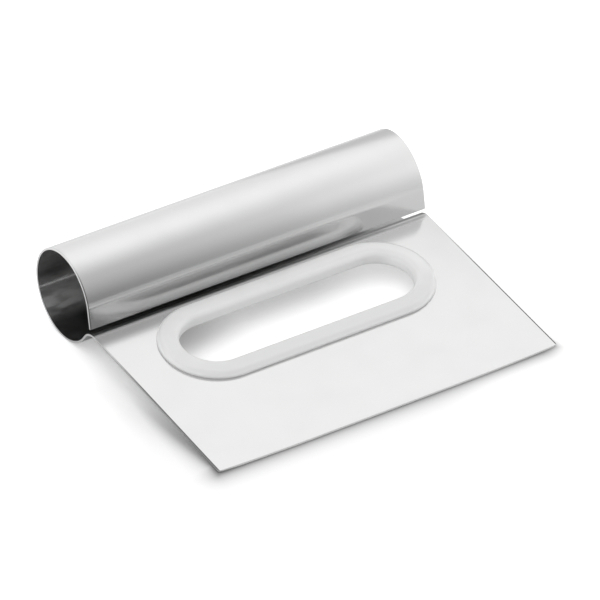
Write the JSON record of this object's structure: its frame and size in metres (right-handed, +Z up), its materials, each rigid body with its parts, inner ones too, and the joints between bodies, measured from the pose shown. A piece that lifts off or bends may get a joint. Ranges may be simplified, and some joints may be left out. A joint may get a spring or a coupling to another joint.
{
  "type": "dough scraper",
  "caption": "Hand scraper for dough: one flat steel blade folded into an open rolled handle, with a plastic-lined finger slot behind the straight scraping edge.",
  "frame": {"origin": "on the table under the middle of the scraper, which rests on its handle and its scraping edge", "axes": "+X along the handle, -Y towards the scraping edge, +Z up"},
  "size_m": [0.12, 0.1022, 0.03],
  "materials": {
    "polished_steel": "smooth polished stainless sheet",
    "milky_plastic": "satin milky white moulding"
  },
  "bodies": {
    "root": {"blade_and_handle": "polished_steel", "slot_grommet": "milky_plastic"}
  },
  "joints": []
}
